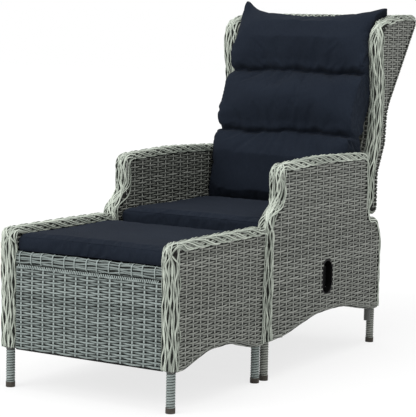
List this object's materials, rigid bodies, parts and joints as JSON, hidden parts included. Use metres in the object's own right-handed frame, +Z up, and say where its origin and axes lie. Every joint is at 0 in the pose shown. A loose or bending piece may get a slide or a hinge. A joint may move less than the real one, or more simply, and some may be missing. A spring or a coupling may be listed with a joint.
{
  "type": "reclining garden armchair with footstool",
  "caption": "Woven wicker garden armchair with a reclining winged back, gas spring and side release lever, and a matching cushioned footstool.",
  "frame": {"origin": "on the floor under the middle of the set, chair and footstool together", "axes": "+X towards the sitter's left, +Y from the footstool towards the chair's back, +Z up"},
  "size_m": [0.616, 1.5524, 1.143],
  "materials": {
    "woven_strand": "matt grey round strand, woven",
    "braid_strand": "matt light grey strand, braided",
    "frame_tube": "powder coated dark grey steel",
    "bright_steel": "zinc plated",
    "rod_chrome": "polished",
    "spring_black": "black satin",
    "black_plastic": "black moulded",
    "cushion_cloth": "dark navy grey woven polyester"
  },
  "bodies": {
    "chair_base": {"arm_braid_left": "braid_strand", "arm_braid_right": "braid_strand", "arm_tubes": "frame_tube", "arm_uprights": "frame_tube", "foot_caps": "black_plastic", "front_apron": "woven_strand", "front_cross_tubes": "frame_tube", "handle_housing": "black_plastic", "leg_gussets": "frame_tube", "leg_wraps": "braid_strand", "lever_pin": "bright_steel", "lower_rails": "frame_tube", "lug_bolts": "bright_steel", "pivot_bushes": "black_plastic", "pivot_lugs": "frame_tube", "pivot_posts": "frame_tube", "rear_apron": "woven_strand", "rear_cross_tubes": "frame_tube", "rear_legs": "frame_tube", "release_cable": "black_plastic", "seat_cross_tubes": "frame_tube", "seat_cushion": "cushion_cloth", "seat_deck": "woven_strand", "seat_rails": "frame_tube", "side_weave_left": "woven_strand", "side_weave_right": "woven_strand", "spring_bracket": "frame_tube", "spring_cross_tube": "frame_tube", "spring_front_pin": "bright_steel"},
    "backrest": {"back_cross_tubes": "frame_tube", "back_cushion": "cushion_cloth", "back_posts": "frame_tube", "back_top_braid": "braid_strand", "back_weave": "woven_strand", "lever_plates": "frame_tube", "pivot_tube": "frame_tube", "spring_rear_pin": "bright_steel", "wing_braid_left": "braid_strand", "wing_braid_right": "braid_strand", "wing_tubes": "frame_tube", "wing_weave_left": "woven_strand", "wing_weave_right": "woven_strand"},
    "gas_rod": {"gas_rod": "rod_chrome"},
    "gas_cylinder": {"gas_cylinder": "spring_black"},
    "release_lever": {"release_lever": "black_plastic"},
    "footstool": {"stool_braid_left": "braid_strand", "stool_braid_right": "braid_strand", "stool_cross_tubes": "frame_tube", "stool_cushion": "cushion_cloth", "stool_deck": "woven_strand", "stool_deck_frame": "frame_tube", "stool_end_panels": "woven_strand", "stool_foot_caps": "black_plastic", "stool_leg_wraps": "braid_strand", "stool_legs": "frame_tube", "stool_lower_rails": "frame_tube", "stool_top_rails": "frame_tube", "stool_weave_left": "woven_strand", "stool_weave_right": "woven_strand"}
  },
  "joints": [
    {"name": "recline", "type": "hinge", "parent": "chair_base", "child": "backrest", "pos_m": [0, 0.47477, 0.477], "axis": [-1, 0, 0], "range_deg": [0, 35]},
    {"name": "gas_rod_turn", "type": "hinge", "parent": "chair_base", "child": "gas_rod", "pos_m": [0, 0.16277, 0.215], "axis": [1, 0, 0], "range_deg": [0, 5.5]},
    {"name": "gas_stroke", "type": "slide", "parent": "gas_rod", "child": "gas_cylinder", "axis": [0, -0.8577, -0.5141], "range_m": [0, 0.031]},
    {"name": "release_pull", "type": "hinge", "parent": "chair_base", "child": "release_lever", "pos_m": [0.287, 0.14077, 0.23818], "axis": [0, 1, 0], "range_deg": [0, 25], "stiffness_Nm_per_rad": 0.3, "springref_deg": -11.46},
    {"name": "footstool_slide", "type": "slide", "parent": "chair_base", "child": "footstool", "axis": [0, -1, 0], "range_m": [0, 0.5]}
  ],
  "couplings": [
    {"joint": "gas_rod_turn", "follows": "recline", "ratio": 0.15499},
    {"joint": "gas_stroke", "follows": "recline", "m_per_rad": 0.049617}
  ]
}
